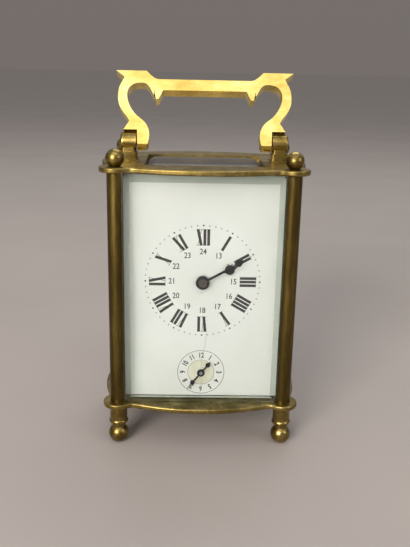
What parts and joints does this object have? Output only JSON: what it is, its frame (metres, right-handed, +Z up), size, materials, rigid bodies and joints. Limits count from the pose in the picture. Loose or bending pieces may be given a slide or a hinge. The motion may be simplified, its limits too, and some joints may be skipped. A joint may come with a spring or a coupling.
{
  "type": "officer clock",
  "caption": "Glazed brass travelling clock on turned feet with a folding carrying handle, a white dial with roman numerals, an alarm dial and a lever movement",
  "frame": {"origin": "on the table under the middle of the case", "axes": "+X to the right of the dial, +Y to the back, +Z up; the dial faces -Y"},
  "size_m": [0.0826, 0.0614, 0.1512],
  "materials": {
    "plate_brass": "aged, polished on its edges",
    "column_brass": "aged, darkened",
    "handle_brass": "polished",
    "movement_brass": "satin",
    "bell_metal": "polished",
    "case_glass": "clear, bevelled",
    "enamel": "gloss",
    "hand_steel": "dark blued",
    "blued_steel": "blued",
    "steel": "satin"
  },
  "bodies": {
    "case": {"base_plate": "plate_brass", "top_plate": "plate_brass", "column_front_left": "column_brass", "column_front_right": "column_brass", "column_rear_left": "column_brass", "column_rear_right": "column_brass", "feet": "plate_brass", "finials": "plate_brass", "front_glass": "case_glass", "side_glasses": "case_glass", "top_glass": "case_glass", "top_glass_clips": "movement_brass", "handle_brackets": "handle_brass", "bracket_nuts": "steel", "dial": "enamel", "dial_feet": "movement_brass", "front_movement_plate": "movement_brass", "rear_movement_plate": "movement_brass", "pillars": "movement_brass", "movement_screws": "blued_steel", "click_spring": "blued_steel", "platform": "movement_brass", "balance_cock": "movement_brass", "bell": "bell_metal", "bell_post": "movement_brass"},
    "handle": {"handle": "handle_brass", "handle_pins": "handle_brass"},
    "door": {"door_frame": "plate_brass", "door_glass": "case_glass", "door_pins": "plate_brass"},
    "latch": {"door_latch": "handle_brass"},
    "centre": {"centre_wheel": "movement_brass", "cannon_pinion": "steel", "minute_hand": "hand_steel", "hand_nut": "movement_brass"},
    "barrel": {"going_barrel": "movement_brass", "barrel_cover": "movement_brass", "mainspring": "steel"},
    "third": {"third_wheel": "movement_brass"},
    "contrate": {"contrate_wheel": "movement_brass"},
    "escape": {"escape_wheel": "movement_brass"},
    "minute_wheel": {"minute_wheel": "movement_brass"},
    "hour": {"hour_wheel": "movement_brass", "hour_hand": "hand_steel"},
    "idler": {"alarm_idler": "movement_brass"},
    "alarm_wheel": {"alarm_wheel": "movement_brass"},
    "balance": {"balance_wheel": "movement_brass", "hairspring": "blued_steel"},
    "lever": {"lever": "steel"},
    "regulator": {"regulator": "steel"},
    "winding": {"winding_arbor": "steel", "ratchet_wheel": "steel"},
    "click": {"click": "steel"},
    "alarm_setting": {"alarm_setting_arbor": "steel", "alarm_hand": "hand_steel"},
    "alarm_barrel": {"alarm_barrel": "movement_brass"},
    "alarm_winding": {"alarm_winding_arbor": "steel"},
    "alarm_escape": {"alarm_escape_wheel": "movement_brass"},
    "hammer": {"hammer": "steel"}
  },
  "joints": [
    {"name": "handle_fold", "type": "hinge", "parent": "case", "child": "handle", "pos_m": [0, 0, 0.1237], "axis": [1, 0, 0], "range_deg": [-54, 108]},
    {"name": "door_swing", "type": "hinge", "parent": "case", "child": "door", "pos_m": [-0.0287, 0.0215, 0.0668], "axis": [0, 0, 1], "range_deg": [0, 115]},
    {"name": "latch_turn", "type": "hinge", "parent": "door", "child": "latch", "pos_m": [0.0281, 0, 0.0668], "axis": [0, 1, 0], "range_deg": [0, 90]},
    {"name": "minute_turn", "type": "hinge", "parent": "case", "child": "centre", "pos_m": [0, 0, 0.0701], "axis": [0, 1, 0], "continuous": true},
    {"name": "barrel_turn", "type": "hinge", "parent": "case", "child": "barrel", "pos_m": [-0.01031, 0, 0.05596], "axis": [0, 1, 0], "continuous": true},
    {"name": "third_turn", "type": "hinge", "parent": "case", "child": "third", "pos_m": [0.01118, 0, 0.07666], "axis": [0, 1, 0], "continuous": true},
    {"name": "contrate_turn", "type": "hinge", "parent": "case", "child": "contrate", "pos_m": [0.004, 0, 0.0839], "axis": [0, 1, 0], "continuous": true},
    {"name": "escape_turn", "type": "hinge", "parent": "case", "child": "escape", "pos_m": [0.004, -0.00276, 0.096], "axis": [0, 0, 1], "continuous": true},
    {"name": "minute_wheel_turn", "type": "hinge", "parent": "case", "child": "minute_wheel", "pos_m": [-0.00679, 0, 0.07689], "axis": [0, 1, 0], "continuous": true},
    {"name": "hour_turn", "type": "hinge", "parent": "case", "child": "hour", "pos_m": [0, 0, 0.0701], "axis": [0, 1, 0], "continuous": true},
    {"name": "idler_turn", "type": "hinge", "parent": "case", "child": "idler", "pos_m": [0.00217, 0, 0.05025], "axis": [0, 1, 0], "continuous": true},
    {"name": "alarm_wheel_turn", "type": "hinge", "parent": "case", "child": "alarm_wheel", "pos_m": [0, 0, 0.0304], "axis": [0, 1, 0], "continuous": true},
    {"name": "balance_swing", "type": "hinge", "parent": "case", "child": "balance", "pos_m": [-0.0057, -0.00276, 0.096], "axis": [0, 0, 1], "range_deg": [-270, 270]},
    {"name": "lever_rock", "type": "hinge", "parent": "case", "child": "lever", "pos_m": [-0.0003, -0.00276, 0.096], "axis": [0, 0, 1], "range_deg": [-4, 4]},
    {"name": "regulator_turn", "type": "hinge", "parent": "case", "child": "regulator", "pos_m": [-0.0057, -0.00276, 0.096], "axis": [0, 0, 1], "range_deg": [-25, 25]},
    {"name": "winding", "type": "hinge", "parent": "case", "child": "winding", "pos_m": [-0.01031, 0, 0.05596], "axis": [0, 1, 0], "continuous": true},
    {"name": "click_lift", "type": "hinge", "parent": "case", "child": "click", "pos_m": [-0.01776, 0, 0.06026], "axis": [0, 1, 0], "range_deg": [-12, 0]},
    {"name": "alarm_setting", "type": "hinge", "parent": "case", "child": "alarm_setting", "pos_m": [0, 0, 0.0304], "axis": [0, 1, 0], "continuous": true},
    {"name": "alarm_barrel_turn", "type": "hinge", "parent": "case", "child": "alarm_barrel", "pos_m": [0.0125, 0, 0.038], "axis": [0, 1, 0], "continuous": true},
    {"name": "alarm_winding", "type": "hinge", "parent": "case", "child": "alarm_winding", "pos_m": [0.0125, 0, 0.038], "axis": [0, 1, 0], "continuous": true},
    {"name": "alarm_escape_turn", "type": "hinge", "parent": "case", "child": "alarm_escape", "pos_m": [0.01699, 0, 0.04859], "axis": [0, 1, 0], "continuous": true},
    {"name": "hammer_strike", "type": "hinge", "parent": "case", "child": "hammer", "pos_m": [0.0205, 0, 0.0548], "axis": [0, 1, 0], "range_deg": [-2.8, 12]}
  ],
  "couplings": [
    {"joint": "escape_turn", "follows": "contrate_turn", "ratio": 10},
    {"joint": "third_turn", "follows": "contrate_turn", "ratio": -0.13333},
    {"joint": "minute_turn", "follows": "contrate_turn", "ratio": 0.016667},
    {"joint": "barrel_turn", "follows": "contrate_turn", "ratio": -0.0027778},
    {"joint": "minute_wheel_turn", "follows": "contrate_turn", "ratio": -0.0055556},
    {"joint": "hour_turn", "follows": "contrate_turn", "ratio": 0.0013889},
    {"joint": "idler_turn", "follows": "contrate_turn", "ratio": -0.00086806},
    {"joint": "alarm_wheel_turn", "follows": "contrate_turn", "ratio": 0.0013889},
    {"joint": "lever_rock", "follows": "balance_swing", "ratio": 0.014815},
    {"joint": "alarm_escape_turn", "follows": "alarm_barrel_turn", "ratio": -4.75}
  ]
}
